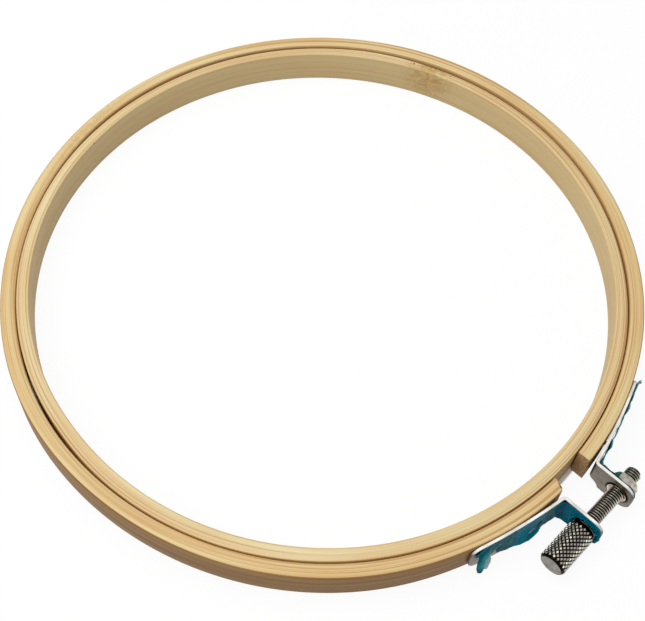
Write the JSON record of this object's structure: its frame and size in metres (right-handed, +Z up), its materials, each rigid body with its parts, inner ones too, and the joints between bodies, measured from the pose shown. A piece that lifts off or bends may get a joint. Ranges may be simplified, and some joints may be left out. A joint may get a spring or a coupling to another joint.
{
  "type": "embroidery hoop",
  "caption": "Round bamboo embroidery hoop: a plain inner ring inside a split outer ring, drawn together by a knurled thumb screw between bent steel brackets.",
  "frame": {"origin": "centre of the rings, on the surface that the hoop lies on", "axes": "+Z up, through the opening; +X through the middle of the clamp; the screw is parallel to Y with its head towards -Y"},
  "size_m": [0.1777, 0.165, 0.01],
  "materials": {
    "inner_bamboo": "sanded, unvarnished",
    "outer_bamboo": "sanded, unvarnished",
    "bracket_steel": "rolled, sheared edges bright",
    "screw_nickel": "nickel plated, knurled head",
    "nut_nickel": "nickel plated",
    "blue_film": "thin protective film, creased and torn"
  },
  "bodies": {
    "outer_hoop": {"outer_ring": "outer_bamboo", "head_bracket": "bracket_steel", "nut_bracket": "bracket_steel", "clamp_nut": "nut_nickel", "head_bracket_film": "blue_film", "nut_bracket_film": "blue_film"},
    "inner_hoop": {"inner_ring": "inner_bamboo"},
    "washer": {"screw_washer": "screw_nickel"},
    "screw": {"clamp_screw": "screw_nickel"}
  },
  "joints": [
    {"name": "inner_ring_lift", "type": "slide", "parent": "outer_hoop", "child": "inner_hoop", "axis": [0, 0, 1], "range_m": [0, 0.03]},
    {"name": "screw_travel", "type": "slide", "parent": "outer_hoop", "child": "washer", "axis": [0, -1, 0], "range_m": [0, 0.0049]},
    {"name": "screw_turn", "type": "hinge", "parent": "washer", "child": "screw", "pos_m": [0.0911, 0, 0.0048], "axis": [0, -1, 0], "range_deg": [0, 2521]}
  ],
  "couplings": [
    {"joint": "screw_turn", "follows": "screw_travel", "rad_per_m": 8976}
  ]
}
